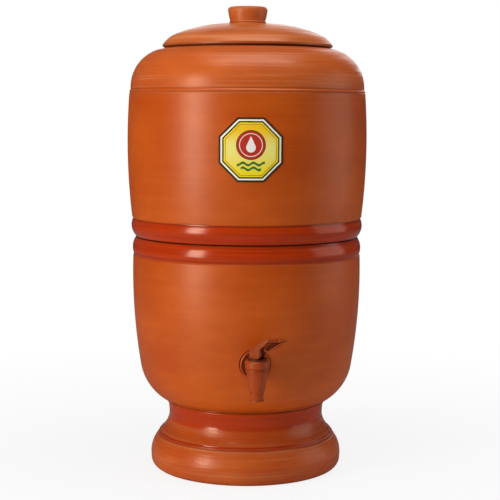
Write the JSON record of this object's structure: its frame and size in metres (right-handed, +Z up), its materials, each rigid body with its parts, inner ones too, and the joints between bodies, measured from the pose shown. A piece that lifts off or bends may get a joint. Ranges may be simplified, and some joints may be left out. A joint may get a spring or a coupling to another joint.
{
  "type": "clay water pot with tap",
  "caption": "Free-standing fired-clay water pot in stacked chambers with a domed lid, filter candles inside, a pedestal foot, a paper label and a plastic lever tap.",
  "frame": {"origin": "on the pot's axis, on the ground under the pedestal foot", "axes": "+Z up along the pot's axis, the tap looks along -Y, +X to the right of someone who stands behind the pot's tap side looking at the tap from the front"},
  "size_m": [0.2684, 0.3104, 0.5201],
  "materials": {
    "clay_body": "burnished clay with red slip bands",
    "lid_clay": "burnished clay",
    "label_paper": "printed paper, satin varnish",
    "candle_ceramic": "matte porous ceramic",
    "carbon": "pressed charcoal",
    "felt": "felt",
    "white_plastic": "satin moulded plastic",
    "float_plastic": "hollow float, satin",
    "tap_plastic": "terracotta-coloured moulded plastic, satin gloss",
    "rubber_seal": "matte",
    "steel": "bright drawn wire"
  },
  "bodies": {
    "root": {"lower_chamber": "clay_body", "tap_body": "tap_plastic", "tap_outer_gasket": "rubber_seal", "tap_inner_gasket": "rubber_seal", "tap_nut": "tap_plastic", "tap_bonnet": "tap_plastic", "tap_spring": "steel"},
    "upper": {"upper_chamber": "clay_body", "label": "label_paper", "candle_1_dome": "candle_ceramic", "candle_1_carbon": "carbon", "candle_1_pad": "felt", "candle_1_base": "white_plastic", "candle_1_top_washer": "rubber_seal", "candle_1_bottom_washer": "rubber_seal", "candle_1_wing_nut": "white_plastic", "float_1_cage": "white_plastic", "candle_2_dome": "candle_ceramic", "candle_2_carbon": "carbon", "candle_2_pad": "felt", "candle_2_base": "white_plastic", "candle_2_top_washer": "rubber_seal", "candle_2_bottom_washer": "rubber_seal", "candle_2_wing_nut": "white_plastic", "float_2_cage": "white_plastic"},
    "lid": {"lid": "lid_clay"},
    "float_1": {"float_1_float": "float_plastic", "float_1_seal": "rubber_seal"},
    "float_2": {"float_2_float": "float_plastic", "float_2_seal": "rubber_seal"},
    "swivel": {"tap_cam_washer": "tap_plastic"},
    "stem": {"tap_stem": "white_plastic", "tap_seal": "rubber_seal", "tap_lever_pin": "tap_plastic"},
    "lever": {"tap_lever": "tap_plastic"}
  },
  "joints": [
    {"name": "upper_lift", "type": "slide", "parent": "root", "child": "upper", "axis": [0, 0, 1], "range_m": [0, 0.15]},
    {"name": "lid_lift", "type": "slide", "parent": "upper", "child": "lid", "axis": [0, 0, 1], "range_m": [0, 0.1]},
    {"name": "float_1_rise", "type": "slide", "parent": "upper", "child": "float_1", "axis": [0, 0, 1], "range_m": [0, 0.006]},
    {"name": "float_2_rise", "type": "slide", "parent": "upper", "child": "float_2", "axis": [0, 0, 1], "range_m": [0, 0.006]},
    {"name": "lever_swivel", "type": "hinge", "parent": "root", "child": "swivel", "pos_m": [0, -0.147, 0.1489], "axis": [0, 0, 1], "range_deg": [-150, 60]},
    {"name": "stem_lift", "type": "slide", "parent": "swivel", "child": "stem", "axis": [0, 0, 1], "range_m": [0, 0.0022], "deforming": ["tap_spring"]},
    {"name": "lever_press", "type": "hinge", "parent": "stem", "child": "lever", "pos_m": [0, -0.147, 0.154], "axis": [0.7071, 0.7071, 0], "range_deg": [0, 35], "stiffness_Nm_per_rad": 0.15, "springref_deg": -28.65}
  ],
  "couplings": [
    {"joint": "stem_lift", "follows": "lever_press", "m_per_rad": 0.0035}
  ]
}
